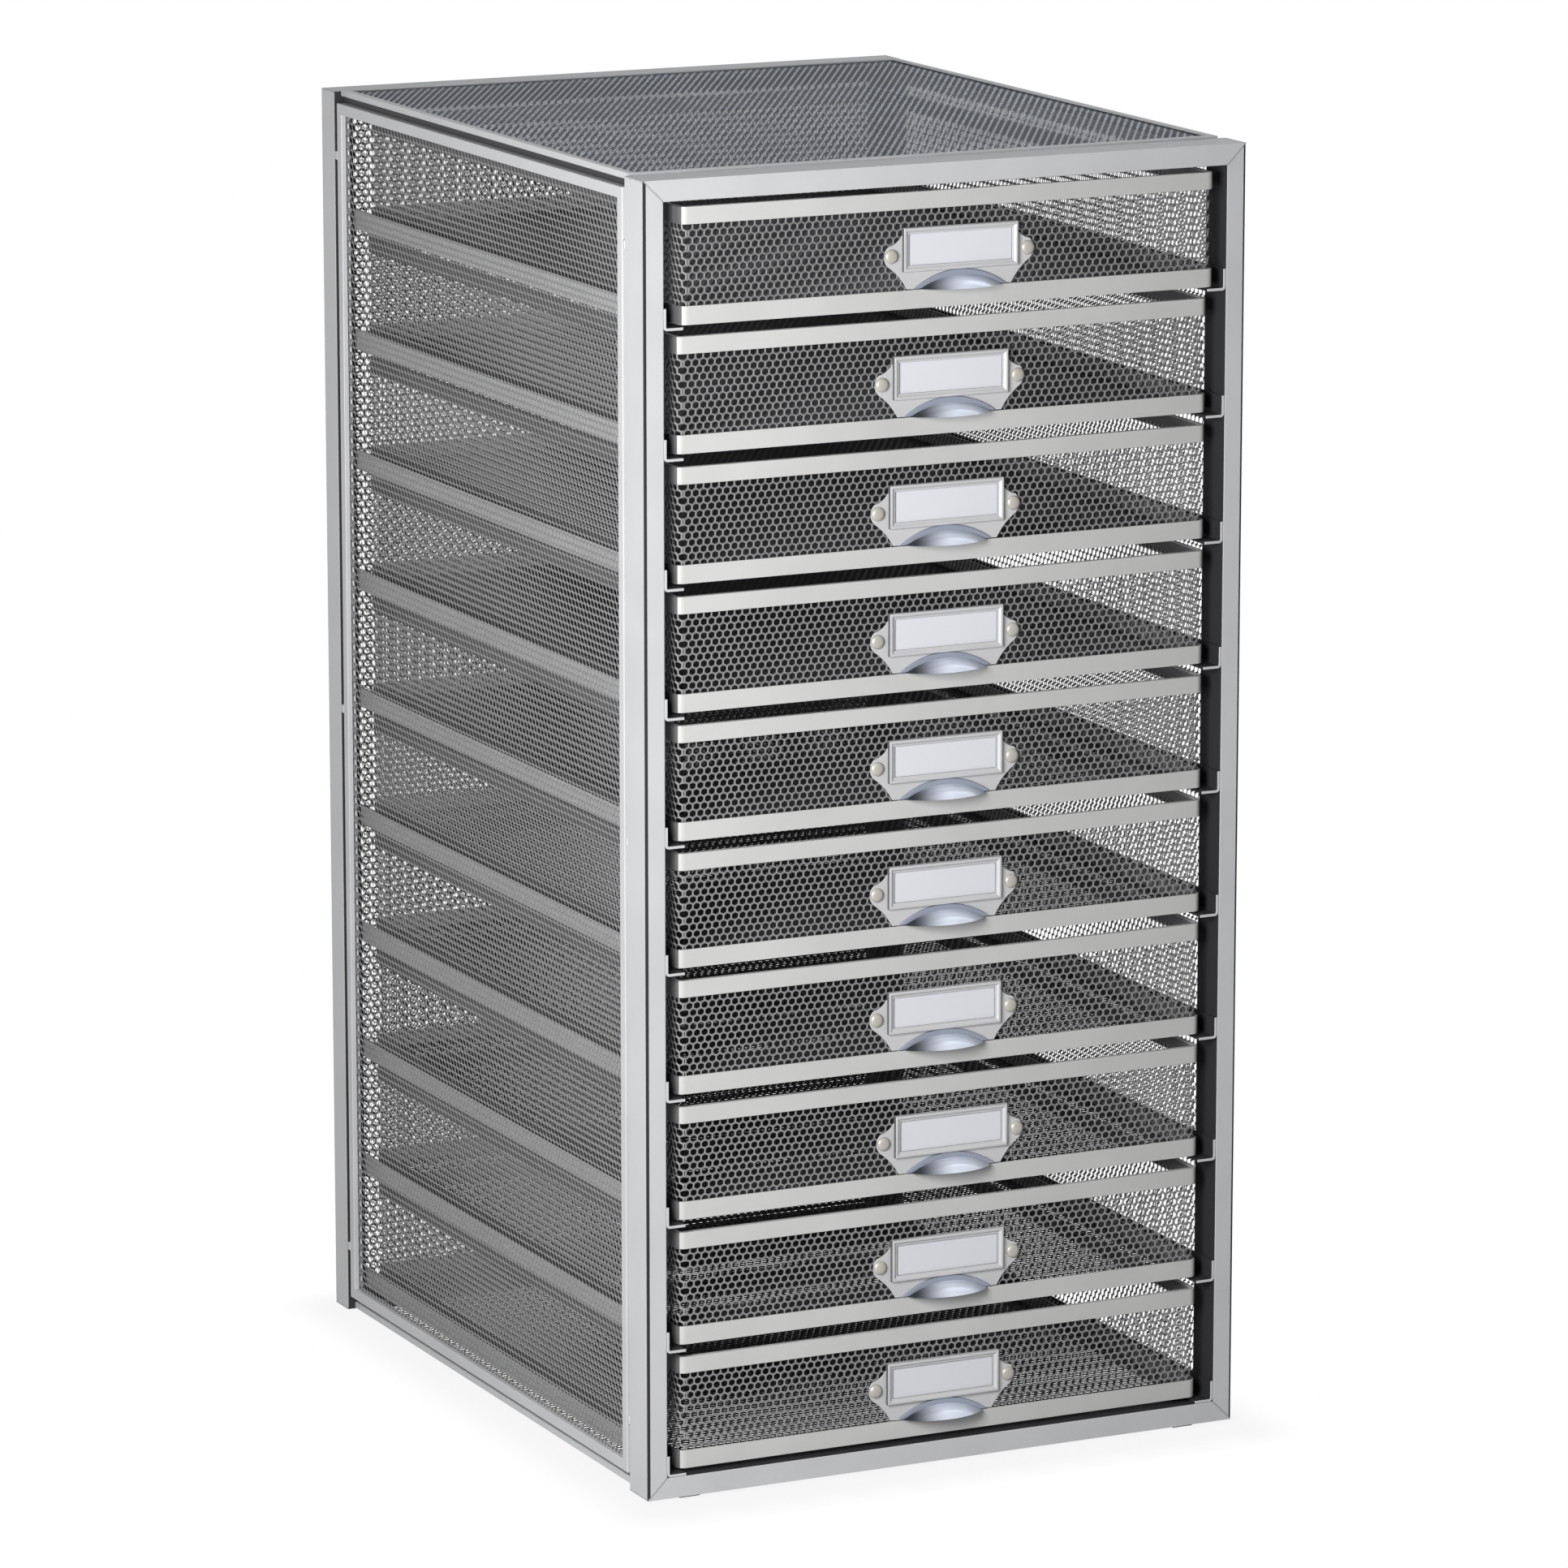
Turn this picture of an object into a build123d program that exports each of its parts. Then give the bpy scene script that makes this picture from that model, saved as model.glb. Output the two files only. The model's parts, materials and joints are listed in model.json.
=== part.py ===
from build123d import *
from math import sqrt
import os

# A steel mesh cabinet with a stack of shallow mesh drawers.
# Millimetres. X runs to the right, Y to the back and Z up.
# The origin is on the table, under the middle of the whole part.

# ---------------------------------------------------------------- cabinet
cabinet_width = 286.0
cabinet_depth = 350.0
frame_height = 572.0
drawer_count = 10

bar_face = 9.3            # width of a frame bar seen from the front
bar_wall = 1.0
front_bar_depth = 19.0
back_bar_depth = 15.0
seam_width = 1.2          # open fold line down the front corner of each front post
seam_depth = 0.7

mesh_thickness = 0.8
sheet_thickness = 0.8     # folded rims and pull plates
fit_clearance = 0.3       # between pieces that seat, slide or drop into each other

# ---------------------------------------------------------------- mesh panels
panel_rim_face = 5.0
panel_rim_depth = 4.3
panel_mesh_recess = 2.5
lid_rim_face = 3.5
lid_rim_depth = 3.0
lid_mesh_recess = 0.8
rim_groove_depth = 2.5

side_panel_front_gap = 2.5
side_panel_back_gap = 3.0
side_panel_bottom = 7.0   # above the underside of the frames
side_panel_drop = 5.0     # below the top of the frames
lid_end_gap = 1.2
lid_side_inset = 3.0
lid_rise = 0.8            # the top panel stands this much above the frames
back_mesh_inset = 1.0

tack_height = 4.0
tack_depth = 2.4
tack_end_inset = 24.0     # from a panel's corner to its outer tacks

# ---------------------------------------------------------------- runners and feet
runner_flange = 9.0
runner_leg = 9.5
runner_thickness = 1.2
runner_back_gap = 0.5

foot_width = 10.0
foot_height = 2.0
foot_corner_inset = 22.0

# ---------------------------------------------------------------- drawers
drawer_side_gap = 6.7     # from a frame post to the drawer's side
drawer_recess = 3.0       # drawer front behind the front of the cabinet
drawer_back_gap = 12.0
drawer_gap = 5.6          # between one drawer and the next
top_clearance = 2.2       # between the top drawer and the top rail
top_drawer_out = 5.0      # the top drawer stands this far out of its closed place

drawer_corner_radius = 3.8
top_band_height = 7.5
bottom_band_height = 8.0
inner_band_height = 5.0
bottom_lip = 6.0
glide_height = 0.8
glide_width = 3.0
glide_end_gap = 12.0

# ---------------------------------------------------------------- pulls and cards
card_frame_width = 54.4
card_frame_height = 18.7
card_frame_raise = 2.0
card_frame_edge = 0.7
card_window_width = 49.0
card_window_height = 11.7
card_pocket_wall = 1.2
card_pocket_depth = 0.8
card_thickness = 0.4

ear_tip_width = 67.2      # across the upper outer corners of the ears
ear_width = 71.0          # across the widest part of the ears
ear_root_drop = 3.2       # ear starts this far below the card frame's top
ear_tip_drop = 7.8
ear_foot_drop = 16.4
ear_scallop = 1.1
apron_width = 49.6        # across the two points below the card frame
apron_scallop = 1.4

hood_width = 44.0
hood_rise = 7.6
hood_reach = 9.7
hood_thickness = 0.9
pull_lift = 0.4           # hood lip above the drawer's bottom band

# how far each pull is fixed to the right of the middle, top drawer first
pull_side_shifts = [3.6, 1.8, 0.0, 0.0, 0.0, 0.0, 0.0, 3.5, 2.0, 0.0]

# ---------------------------------------------------------------- worked out
opening_width = cabinet_width - 2 * bar_face
opening_height = frame_height - 2 * bar_face
frame_bottom = foot_height
frame_middle = frame_bottom + frame_height / 2


# from the underside of a runner to the underside of its drawer's bottom band
stack_low = runner_thickness + fit_clearance + glide_height
stack_height = opening_height - stack_low - top_clearance
drawer_pitch = (stack_height + drawer_gap) / drawer_count
drawer_height = drawer_pitch - drawer_gap
drawer_width = opening_width - 2 * drawer_side_gap
drawer_depth = cabinet_depth - drawer_recess - drawer_back_gap

basket_width = drawer_width - 2 * sheet_thickness
basket_depth = drawer_depth - 2 * sheet_thickness
basket_corner_cut = drawer_corner_radius - sheet_thickness

hood_axis_drop = (hood_reach ** 2 - hood_rise ** 2) / (2 * hood_rise)
hood_arc_radius = ((hood_width / 2) ** 2 + hood_rise ** 2) / (2 * hood_rise)

# the part reaches from the top drawer's hood to the back frame
front_reach = max(0.0, hood_reach + top_drawer_out - drawer_recess - sheet_thickness)
front_y = (front_reach - cabinet_depth) / 2
back_y = front_y + cabinet_depth

front_plane = Plane(origin=(0, front_y, frame_middle), x_dir=(1, 0, 0), z_dir=(0, -1, 0))
back_plane = Plane(origin=(0, back_y, frame_middle), x_dir=(-1, 0, 0), z_dir=(0, 1, 0))
sides = ["bottom", "right", "top", "left"]


def write(name, solids):
    solids = solids if isinstance(solids, list) else [solids]
    shape = solids[0] if len(solids) == 1 else Compound(children=solids)
    shape.label = name
    export_step(shape, "parts/" + name + ".step")


# ---------------------------------------------------------------- mitred frames
def mitred_strip(side, width, height, outer_inset, inner_inset):
    # one side of a rectangular frame, between two insets, cut at 45 degrees at its ends
    across, along = (width, height) if side in ("left", "right") else (height, width)
    face = Polygon(
        (-along / 2 + outer_inset, -across / 2 + outer_inset),
        (along / 2 - outer_inset, -across / 2 + outer_inset),
        (along / 2 - inner_inset, -across / 2 + inner_inset),
        (-along / 2 + inner_inset, -across / 2 + inner_inset),
        align=None,
    )
    return Rot(0, 0, 90 * sides.index(side)) * face


def frame_bar(plane, side, bar_depth):
    # a folded tube: its outer face lies on the plane and it reaches inwards from there
    outer = extrude(mitred_strip(side, cabinet_width, frame_height, 0, bar_face), -bar_depth)
    hollow_face = mitred_strip(side, cabinet_width, frame_height, bar_wall, bar_face - bar_wall)
    hollow = extrude(Pos(0, 0, -bar_wall) * hollow_face, 2 * bar_wall - bar_depth)
    return plane * (outer - hollow)


def post_seam(x_sign):
    centre_x = x_sign * (cabinet_width - seam_width) / 2
    place = Pos(centre_x, front_y + seam_depth / 2, frame_middle)
    return place * Box(seam_width, seam_depth, frame_height)


def build_frames():
    for name, plane, depth in (
        ("front_frame", front_plane, front_bar_depth),
        ("back_frame", back_plane, back_bar_depth),
    ):
        # the back frame's plane looks backwards, so its left and right change places
        mirrored = plane is back_plane
        for side, label in (("bottom", "bottom_rail"), ("top", "top_rail")):
            write(name + "_" + label, frame_bar(plane, side, depth))
        for x_sign, label in ((-1, "left_post"), (1, "right_post")):
            side = "right" if (x_sign > 0) != mirrored else "left"
            post = frame_bar(plane, side, depth)
            if not mirrored:
                post = post - post_seam(x_sign)
            write(name + "_" + label, post)


# ---------------------------------------------------------------- mesh panels in folded rims
def panel_rim(plane, width, height, rim_face, rim_depth, mesh_recess):
    strips = []
    for side in sides:
        outer = extrude(mitred_strip(side, width, height, 0, rim_face), -rim_depth)
        groove_face = mitred_strip(side, width, height, rim_face - rim_groove_depth, rim_face)
        groove = extrude(Pos(0, 0, -mesh_recess) * groove_face, -mesh_thickness)
        strips.append(plane * (outer - groove))
    return strips


def panel_mesh(plane, width, height, rim_face, mesh_recess):
    edge = rim_face - rim_groove_depth + fit_clearance
    sheet = extrude(Rectangle(width - 2 * edge, height - 2 * edge), -mesh_thickness)
    return plane * Pos(0, 0, -mesh_recess) * sheet


side_panel_width = (
    cabinet_depth - front_bar_depth - back_bar_depth - side_panel_front_gap - side_panel_back_gap
)
side_panel_height = frame_height - side_panel_bottom - side_panel_drop
side_panel_y = front_y + front_bar_depth + side_panel_front_gap + side_panel_width / 2
side_panel_z = frame_bottom + side_panel_bottom + side_panel_height / 2

lid_width = cabinet_width - 2 * lid_side_inset
lid_depth = cabinet_depth - front_bar_depth - back_bar_depth - 2 * lid_end_gap
lid_y = front_y + front_bar_depth + lid_end_gap + lid_depth / 2
lid_top = frame_bottom + frame_height + lid_rise
floor_bottom = frame_bottom + lid_rise


def build_side_panel(name, x_sign):
    plane = Plane(
        origin=(x_sign * cabinet_width / 2, side_panel_y, side_panel_z),
        x_dir=(0, x_sign, 0),
        z_dir=(x_sign, 0, 0),
    )
    size = (side_panel_width, side_panel_height, panel_rim_face)
    write(name + "_rim", panel_rim(plane, *size, panel_rim_depth, panel_mesh_recess))
    write(name + "_mesh", panel_mesh(plane, *size, panel_mesh_recess))


def build_flat_panel(name, height, up):
    plane = Plane(origin=(0, lid_y, height), x_dir=(1, 0, 0), z_dir=(0, 0, up))
    size = (lid_width, lid_depth, lid_rim_face)
    write(name + "_rim", panel_rim(plane, *size, lid_rim_depth, lid_mesh_recess))
    write(name + "_mesh", panel_mesh(plane, *size, lid_mesh_recess))


def build_back_mesh():
    sheet = Box(
        opening_width - 2 * fit_clearance,
        mesh_thickness,
        opening_height - 2 * fit_clearance,
    )
    centre_y = back_y - back_mesh_inset - mesh_thickness / 2
    write("back_panel_mesh", Pos(0, centre_y, frame_middle) * sheet)


def side_tack(x_sign, low_y, high_y, z):
    centre_x = x_sign * (cabinet_width - tack_depth) / 2
    bead = Box(tack_depth, high_y - low_y, tack_height)
    return Pos(centre_x, (low_y + high_y) / 2, z) * bead


def flat_tack(x, low_y, high_y, outer_z, up):
    bead = Box(tack_height, high_y - low_y, lid_rim_depth - lid_rise)
    centre_z = outer_z - up * (lid_rim_depth + lid_rise) / 2
    return Pos(x, (low_y + high_y) / 2, centre_z) * bead


def build_tacks():
    # weld beads that bridge the gaps between the panels and the two frames
    beads = []
    front_gap = (front_y + front_bar_depth, front_y + front_bar_depth + side_panel_front_gap)
    back_face = back_y - back_bar_depth
    back_gap = (back_face - side_panel_back_gap, back_face)
    reach = side_panel_height / 2 - tack_end_inset
    for x_sign in (-1, 1):
        for gap in (front_gap, back_gap):
            for step in (-1, 0, 1):
                beads.append(side_tack(x_sign, *gap, side_panel_z + step * reach))
    front_gap = (front_y + front_bar_depth, front_y + front_bar_depth + lid_end_gap)
    back_gap = (back_face - lid_end_gap, back_face)
    reach = lid_width / 2 - tack_end_inset
    for outer_z, up in ((lid_top, 1), (floor_bottom - lid_rise, -1)):
        for gap in (front_gap, back_gap):
            for step in (-1, 0, 1):
                beads.append(flat_tack(step * reach, *gap, outer_z, up))
    write("weld_tacks", beads)


# ---------------------------------------------------------------- runners and feet
def runner_height(level):
    # underside of a runner's flange. Level 0 stands on the bottom rail
    return frame_bottom + bar_face + level * drawer_pitch


def runner(x_sign, level):
    length = cabinet_depth - back_mesh_inset - mesh_thickness - runner_back_gap
    flange = Rectangle(runner_flange, runner_thickness, align=(Align.MAX, Align.MIN))
    leg = Rectangle(runner_thickness, runner_leg, align=(Align.MAX, Align.MIN))
    bar = extrude(Plane.XZ * (flange + leg), -length)
    bar = Pos(opening_width / 2, front_y, runner_height(level)) * bar
    return bar if x_sign > 0 else mirror(bar, Plane.YZ)


def build_runners():
    levels = range(drawer_count)
    write("drawer_runners", [runner(x_sign, level) for x_sign in (-1, 1) for level in levels])


def build_feet():
    feet = []
    for x_sign in (-1, 1):
        for y in (front_y + front_bar_depth / 2, back_y - back_bar_depth / 2):
            x = x_sign * (cabinet_width / 2 - foot_corner_inset)
            feet.append(Pos(x, y, foot_height / 2) * Box(foot_width, foot_width, foot_height))
    write("rubber_feet", feet)


# ---------------------------------------------------------------- drawers
# A drawer is modelled with its front on Y = 0 and the underside of its bottom band on Z = 0.
middle_y = drawer_depth / 2
mesh_front_y = sheet_thickness
mesh_floor_z = sheet_thickness


def outer_block(low_z, high_z):
    # round corners at the front, flats across the two that stay inside the cabinet
    face = Rectangle(drawer_width, drawer_depth)
    face = fillet(face.vertices().group_by(Axis.Y)[0], drawer_corner_radius)
    face = chamfer(face.vertices().group_by(Axis.Y)[-1], drawer_corner_radius)
    return Pos(0, middle_y, low_z) * extrude(face, high_z - low_z)


def inner_block(inset, low_z, high_z):
    # fills the drawer up to an inset from the outside of its mesh, with a flat across each corner
    face = Rectangle(basket_width - 2 * inset, basket_depth - 2 * inset)
    corner_cut = basket_corner_cut - (2 - sqrt(2)) * inset
    if corner_cut > 0:
        face = chamfer(face.vertices(), corner_cut)
    return Pos(0, middle_y, low_z) * extrude(face, high_z - low_z)


def strips_of(ring, low_z, high_z, corner_depth):
    # a ring of walls comes in four strips: front and back take the corners
    height = high_z - low_z
    block = Box(drawer_width, corner_depth, height, align=(Align.CENTER, Align.MIN, Align.MIN))
    front = ring & (Pos(0, 0, low_z) * block)
    back = ring & (Pos(0, drawer_depth - corner_depth, low_z) * block)
    length = drawer_depth - 2 * corner_depth
    block = Box(drawer_width / 2, length, height, align=(Align.MIN, Align.MIN, Align.MIN))
    right = ring & (Pos(0, corner_depth, low_z) * block)
    left = ring & (Pos(-drawer_width / 2, corner_depth, low_z) * block)
    return [front, back, left, right]


def basket():
    # a folded mesh sheet: the floor, then a wall along each side
    floor_top = mesh_floor_z + mesh_thickness
    mesh_top = drawer_height - sheet_thickness - fit_clearance
    floor = inner_block(0, mesh_floor_z, floor_top)
    ring = inner_block(0, floor_top, mesh_top) - inner_block(mesh_thickness, floor_top, mesh_top)
    return [floor] + strips_of(ring, floor_top, mesh_top, drawer_corner_radius)


def top_band():
    # folded over the mesh edge: outer wall, top and inner wall with the mesh between
    low = drawer_height - top_band_height
    inner_low = drawer_height - inner_band_height
    outer = outer_block(low, drawer_height)
    slot = inner_block(0, low, drawer_height - sheet_thickness)
    lining = inner_block(mesh_thickness, inner_low, drawer_height)
    hollow = inner_block(mesh_thickness + sheet_thickness, low, drawer_height)
    ring = outer - slot + lining - hollow
    return strips_of(ring, low, drawer_height, drawer_corner_radius)


def bottom_band():
    # wraps the bottom edge: a wall outside the mesh and a lip under its floor
    block = outer_block(0, bottom_band_height)
    wall = block - inner_block(0, 0, bottom_band_height)
    opening = Rectangle(basket_width - 2 * bottom_lip, basket_depth - 2 * bottom_lip)
    lip = inner_block(0, 0, mesh_floor_z)
    lip = lip - Pos(0, middle_y, 0) * extrude(opening, mesh_floor_z)
    lips = strips_of(lip, 0, mesh_floor_z, sheet_thickness + bottom_lip)
    front, back, left, right = lips
    walls = strips_of(wall, 0, bottom_band_height, drawer_corner_radius)
    return walls + [front, back, left + glide(-1), right + glide(1)]


def glide(x_sign):
    # hem under each side that slides on the runner's flange
    length = drawer_depth - 2 * glide_end_gap
    hem = Box(glide_width, length, glide_height, align=(Align.CENTER, Align.CENTER, Align.MAX))
    return Pos(x_sign * (drawer_width - glide_width) / 2, middle_y, 0) * hem


# ---------------------------------------------------------------- pulls
# Heights on the pull count up from the lip of its hood.
card_frame_low = hood_rise
card_frame_top = card_frame_low + card_frame_height
pull_base_z = bottom_band_height + pull_lift


def on_mesh_front(x, outwards, z):
    # sketches on this plane face the user, on the mesh or that far out from it
    return Plane(
        origin=(x, mesh_front_y - outwards, pull_base_z + z), x_dir=(1, 0, 0), z_dir=(0, -1, 0)
    )


def scallop(start, end, depth):
    # an arc that dips towards the middle of the plate by its depth
    chord_x = end[0] - start[0]
    chord_y = end[1] - start[1]
    length = sqrt(chord_x ** 2 + chord_y ** 2)
    middle = (
        (start[0] + end[0]) / 2 + chord_y / length * depth,
        (start[1] + end[1]) / 2 - chord_x / length * depth,
    )
    return ThreePointArc(start, middle, end)


def plate_face():
    # right half, from the middle of the top round to the middle of the bottom
    top = card_frame_top - sheet_thickness
    root = (card_frame_width / 2, card_frame_top - ear_root_drop)
    tip = (ear_tip_width / 2, card_frame_top - ear_tip_drop)
    foot = (ear_tip_width / 2, card_frame_top - ear_foot_drop)
    widest = (ear_width / 2, (tip[1] + foot[1]) / 2)
    point = (apron_width / 2, 0)
    outline = [
        Line((0, 0), (0, top)),
        Line((0, top), (card_frame_width / 2, top)),
        Line((card_frame_width / 2, top), root),
        scallop(root, tip, ear_scallop),
        ThreePointArc(tip, widest, foot),
        scallop(foot, point, apron_scallop),
        Line(point, (0, 0)),
    ]
    half = make_face(Wire(outline))
    return half + mirror(half, Plane.YZ)


def hood_arch(offset):
    # filled arch above the hood's axis, drawn in by an offset
    radius = hood_arc_radius - offset
    circle_middle = hood_rise - hood_arc_radius
    disc = Pos(0, circle_middle) * Circle(radius)
    below = Pos(0, -hood_axis_drop) * Rectangle(
        3 * hood_arc_radius, 3 * hood_arc_radius, align=(Align.CENTER, Align.MAX)
    )
    return disc - below


def hood_body(offset):
    # the arch turned right round the hood's axis
    axis = Axis((0, -hood_axis_drop, 0), (1, 0, 0))
    return revolve(hood_arch(offset), axis, 360)


def hood_outside():
    # the quarter of the turned body that stands out from the plate, above the lip
    keep = Box(
        2 * hood_width, hood_rise, hood_reach, align=(Align.CENTER, Align.MIN, Align.MIN)
    )
    return hood_body(0) & keep


def card_frame():
    # raised border with a pocket behind it that is open at the top for the card
    rise = sheet_thickness + card_frame_raise
    middle_z = card_frame_low + card_frame_height / 2
    outer = extrude(Pos(0, middle_z) * Rectangle(card_frame_width, card_frame_height), rise)
    front_edges = outer.faces().sort_by(Axis.Z)[-1].edges()
    outer = chamfer(front_edges, card_frame_edge)
    window = extrude(Pos(0, middle_z) * Rectangle(card_window_width, card_window_height), rise)
    pocket = Pos(0, card_frame_low + card_pocket_wall, sheet_thickness) * Box(
        card_frame_width - 2 * card_pocket_wall,
        card_frame_height,
        card_pocket_depth,
        align=(Align.CENTER, Align.MIN, Align.MIN),
    )
    return outer - Pos(0, 0, sheet_thickness) * window - pocket


def pull(pull_shift):
    plate = extrude(plate_face(), sheet_thickness)
    body = plate + hood_outside() + card_frame() - hood_body(hood_thickness)
    return on_mesh_front(pull_shift, 0, 0) * body


def card(pull_shift):
    width = card_frame_width - 2 * card_pocket_wall - 2 * fit_clearance
    low = card_frame_low + card_pocket_wall
    sheet = extrude(
        Rectangle(width, card_frame_top - low - card_pocket_wall, align=(Align.CENTER, Align.MIN)),
        card_thickness,
    )
    return on_mesh_front(pull_shift, sheet_thickness, low) * sheet


def drawer_place(number):
    # drawers count down from the top
    level = drawer_count - number
    stands_out = top_drawer_out if number == 1 else 0.0
    return Pos(0, front_y + drawer_recess - stands_out, runner_height(level) + stack_low)


def build_drawer(number, pull_shift):
    name = "drawer_" + str(number).zfill(2)
    place = drawer_place(number)
    write(name + "_basket", [place * wall for wall in basket()])
    write(name + "_rims", [place * strip for strip in top_band() + bottom_band()])
    write(name + "_pull", place * pull(pull_shift))
    write(name + "_card", place * card(pull_shift))


os.makedirs("parts", exist_ok=True)
build_frames()
build_side_panel("left_panel", -1)
build_side_panel("right_panel", 1)
build_flat_panel("top_panel", lid_top, 1)
build_flat_panel("bottom_panel", floor_bottom, -1)
build_back_mesh()
build_tacks()
build_runners()
build_feet()
for index in range(drawer_count):
    build_drawer(index + 1, pull_side_shifts[index % len(pull_side_shifts)])
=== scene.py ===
import bpy
import bmesh
import json
from math import asin, cos, pi, radians, sin, sqrt
from mathutils import Matrix, Vector

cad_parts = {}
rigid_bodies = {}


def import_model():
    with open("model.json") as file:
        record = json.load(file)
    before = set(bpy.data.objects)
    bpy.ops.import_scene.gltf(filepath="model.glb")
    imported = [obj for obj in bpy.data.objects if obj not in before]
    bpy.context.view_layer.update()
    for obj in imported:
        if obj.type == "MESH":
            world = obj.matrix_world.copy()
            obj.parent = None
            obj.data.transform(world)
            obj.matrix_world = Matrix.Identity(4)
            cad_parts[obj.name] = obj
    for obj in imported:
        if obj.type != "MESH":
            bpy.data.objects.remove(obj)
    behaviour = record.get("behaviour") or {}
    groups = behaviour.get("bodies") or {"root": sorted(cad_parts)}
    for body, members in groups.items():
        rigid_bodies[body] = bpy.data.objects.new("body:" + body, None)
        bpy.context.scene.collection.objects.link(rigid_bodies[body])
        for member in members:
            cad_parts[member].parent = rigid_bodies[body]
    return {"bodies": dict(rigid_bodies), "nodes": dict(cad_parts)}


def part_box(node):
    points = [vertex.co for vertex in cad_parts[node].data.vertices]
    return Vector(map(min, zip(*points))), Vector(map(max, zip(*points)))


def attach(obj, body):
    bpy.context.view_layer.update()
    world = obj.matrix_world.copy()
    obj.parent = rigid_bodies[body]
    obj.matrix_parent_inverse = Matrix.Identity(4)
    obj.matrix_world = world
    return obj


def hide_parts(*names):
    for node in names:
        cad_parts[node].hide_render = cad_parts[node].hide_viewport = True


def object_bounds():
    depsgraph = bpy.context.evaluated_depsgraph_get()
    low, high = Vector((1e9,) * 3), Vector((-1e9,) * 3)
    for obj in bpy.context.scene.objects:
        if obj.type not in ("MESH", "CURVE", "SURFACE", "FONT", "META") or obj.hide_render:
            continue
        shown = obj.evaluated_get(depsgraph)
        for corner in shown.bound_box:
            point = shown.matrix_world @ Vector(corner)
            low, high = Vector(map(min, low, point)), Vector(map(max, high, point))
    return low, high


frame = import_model()
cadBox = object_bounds()
nodeList = frame["nodes"]
mm = 0.001  # lengths are in metres
drawerNames = sorted(name for name in frame["bodies"] if name.startswith("drawer_"))


def addPiece(name, bm, material, body, hides=()):
    # a finished bmesh becomes an object that rides on a body
    mesh = bpy.data.meshes.new(name)
    bm.to_mesh(mesh)
    bm.free()
    mesh.materials.append(material)
    piece = bpy.data.objects.new(name, mesh)
    bpy.context.scene.collection.objects.link(piece)
    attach(piece, body)
    if hides:
        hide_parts(*hides)
    return piece


def movedBy(bm, offset):
    bmesh.ops.translate(bm, verts=bm.verts, vec=offset)


def turned(bm, matrix):
    bmesh.ops.transform(bm, matrix=matrix, verts=bm.verts)


def roundEdges(bm, edges, width, segments):
    bmesh.ops.bevel(
        bm, geom=edges, offset=width, offset_type="OFFSET", segments=segments,
        profile=0.5, affect="EDGES", clamp_overlap=True, material=-1,
    )


def bevelSharpEdges(bm, width, segments=2, sharpest=30.0):
    edges = []
    for edge in bm.edges:
        if len(edge.link_faces) == 2 and edge.calc_face_angle() > radians(sharpest):
            edges.append(edge)
    roundEdges(bm, edges, width, segments)


def trim(bm, point, outwards):
    # cuts away what lies past a plane
    everything = bm.verts[:] + bm.edges[:] + bm.faces[:]
    bmesh.ops.bisect_plane(
        bm, geom=everything, dist=0.00002, plane_co=point, plane_no=outwards, clear_outer=True,
    )


def closeHoles(bm):
    openEdges = [edge for edge in bm.edges if len(edge.link_faces) == 1]
    bmesh.ops.holes_fill(bm, edges=openEdges, sides=0)
    bmesh.ops.recalc_face_normals(bm, faces=bm.faces[:])


def smoothShade(piece, sharpest=35.0, even=True):
    for polygon in piece.data.polygons:
        polygon.use_smooth = True
    piece.data.set_sharp_from_angle(angle=radians(sharpest))
    if even:
        evened = piece.modifiers.new("evened", "WEIGHTED_NORMAL")
        evened.keep_sharp = True


def darkenFaces(piece, material, chosen):
    # gives another material to the faces that a test picks by middle and normal
    piece.data.materials.append(material)
    for polygon in piece.data.polygons:
        if chosen(polygon.center, polygon.normal):
            polygon.material_index = len(piece.data.materials) - 1


def copyOfNode(node):
    # a CAD node is loose triangles, so its copy is merged and its flats are joined again
    bm = bmesh.new()
    bm.from_mesh(nodeList[node].data)
    bmesh.ops.remove_doubles(bm, verts=bm.verts, dist=0.000002)
    bmesh.ops.dissolve_limit(bm, angle_limit=radians(0.5), verts=bm.verts, edges=bm.edges)
    return bm


def lineTo(bm, vert, end):
    # draws an edge on XY from a vertex to a point
    grown = bmesh.ops.extrude_vert_indiv(bm, verts=[vert])["verts"][0]
    grown.co = (*end, 0.0)
    return grown


def arcTo(bm, vert, end, bulge, steps):
    # spins a vertex along an arc, which bulges to the right of its way when bulge is above zero
    start = vert.co.copy()
    finish = Vector((*end, 0.0))
    way = finish - start
    half = way.length / 2
    radius = (half ** 2 + bulge ** 2) / (2 * abs(bulge))
    side = 1 if bulge > 0 else -1
    right = Vector((way.y, -way.x, 0)).normalized() * side
    centre = (start + finish) / 2 - right * (radius - abs(bulge))
    angle = 2 * asin(half / radius) * side
    made = bmesh.ops.spin(bm, geom=[vert], cent=centre, axis=(0, 0, 1), angle=angle, steps=steps)
    return [part for part in made["geom_last"] if isinstance(part, bmesh.types.BMVert)][0]


def addTo(bm, part):
    # puts a finished part into a larger bmesh
    mesh = bpy.data.meshes.new("part")
    part.to_mesh(mesh)
    part.free()
    bm.from_mesh(mesh)
    bpy.data.meshes.remove(mesh)


def joined(parts):
    bm = bmesh.new()
    for part in parts:
        addTo(bm, part)
    return bm


def makeGroup(name, inputs, outputs):
    # a shader node group with named inputs and outputs
    group = bpy.data.node_groups.new(name, "ShaderNodeTree")
    for socketName, socketType, value in inputs:
        socket = group.interface.new_socket(name=socketName, in_out="INPUT", socket_type=socketType)
        socket.default_value = value
    for socketName, socketType in outputs:
        group.interface.new_socket(name=socketName, in_out="OUTPUT", socket_type=socketType)
    return group, group.nodes.new("NodeGroupInput"), group.nodes.new("NodeGroupOutput")


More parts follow.
